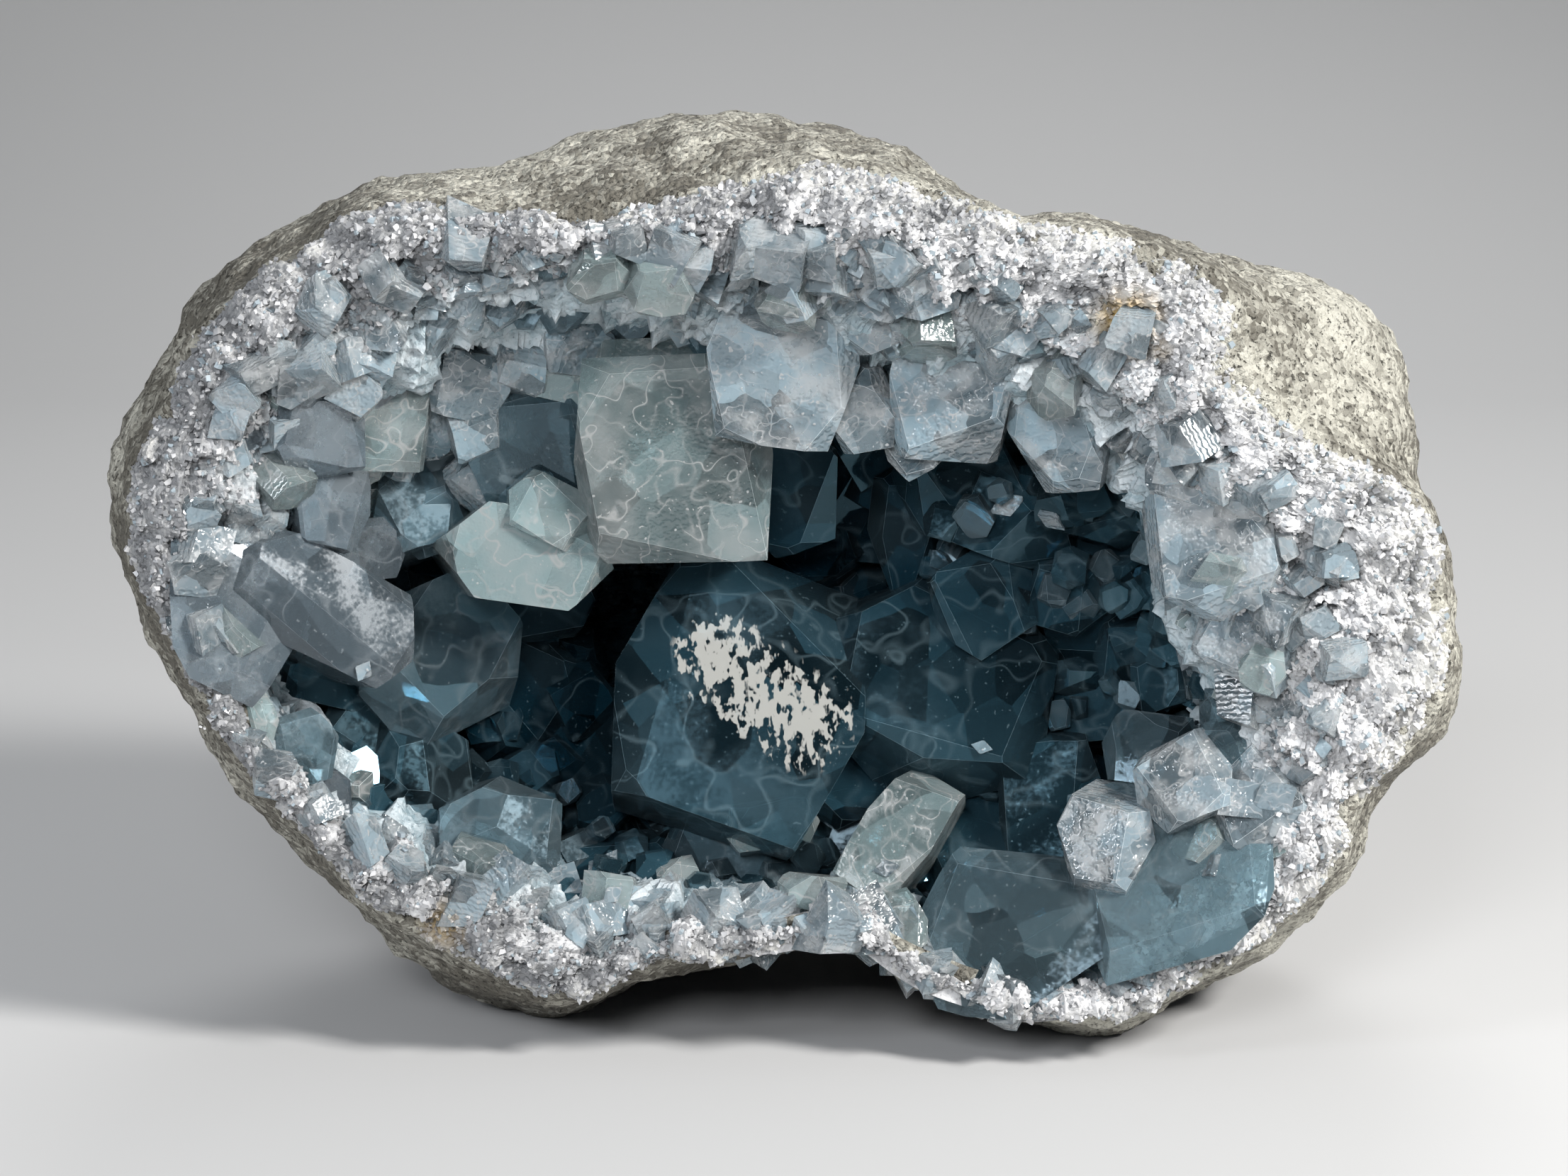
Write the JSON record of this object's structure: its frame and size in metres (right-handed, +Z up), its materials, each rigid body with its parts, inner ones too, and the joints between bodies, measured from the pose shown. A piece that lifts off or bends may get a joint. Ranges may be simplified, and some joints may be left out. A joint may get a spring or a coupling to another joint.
{
  "type": "celestite geode",
  "caption": "Standing geode of pale weathered stone, its broken sugary rim open to the front on a deep hollow lined with blocky blue celestite crystals.",
  "frame": {"origin": "on the surface it stands on, below the middle of its box", "axes": "+Z up, +X to the viewer's right along the longest side, +Y away from the viewer into the stone, so the hollow opens towards -Y"},
  "size_m": [0.216, 0.1094, 0.1455],
  "materials": {
    "matrix": "matte",
    "celestite": "satin"
  },
  "bodies": {
    "root": {"matrix_shell": "matrix", "crystal_crust": "celestite"}
  },
  "joints": []
}
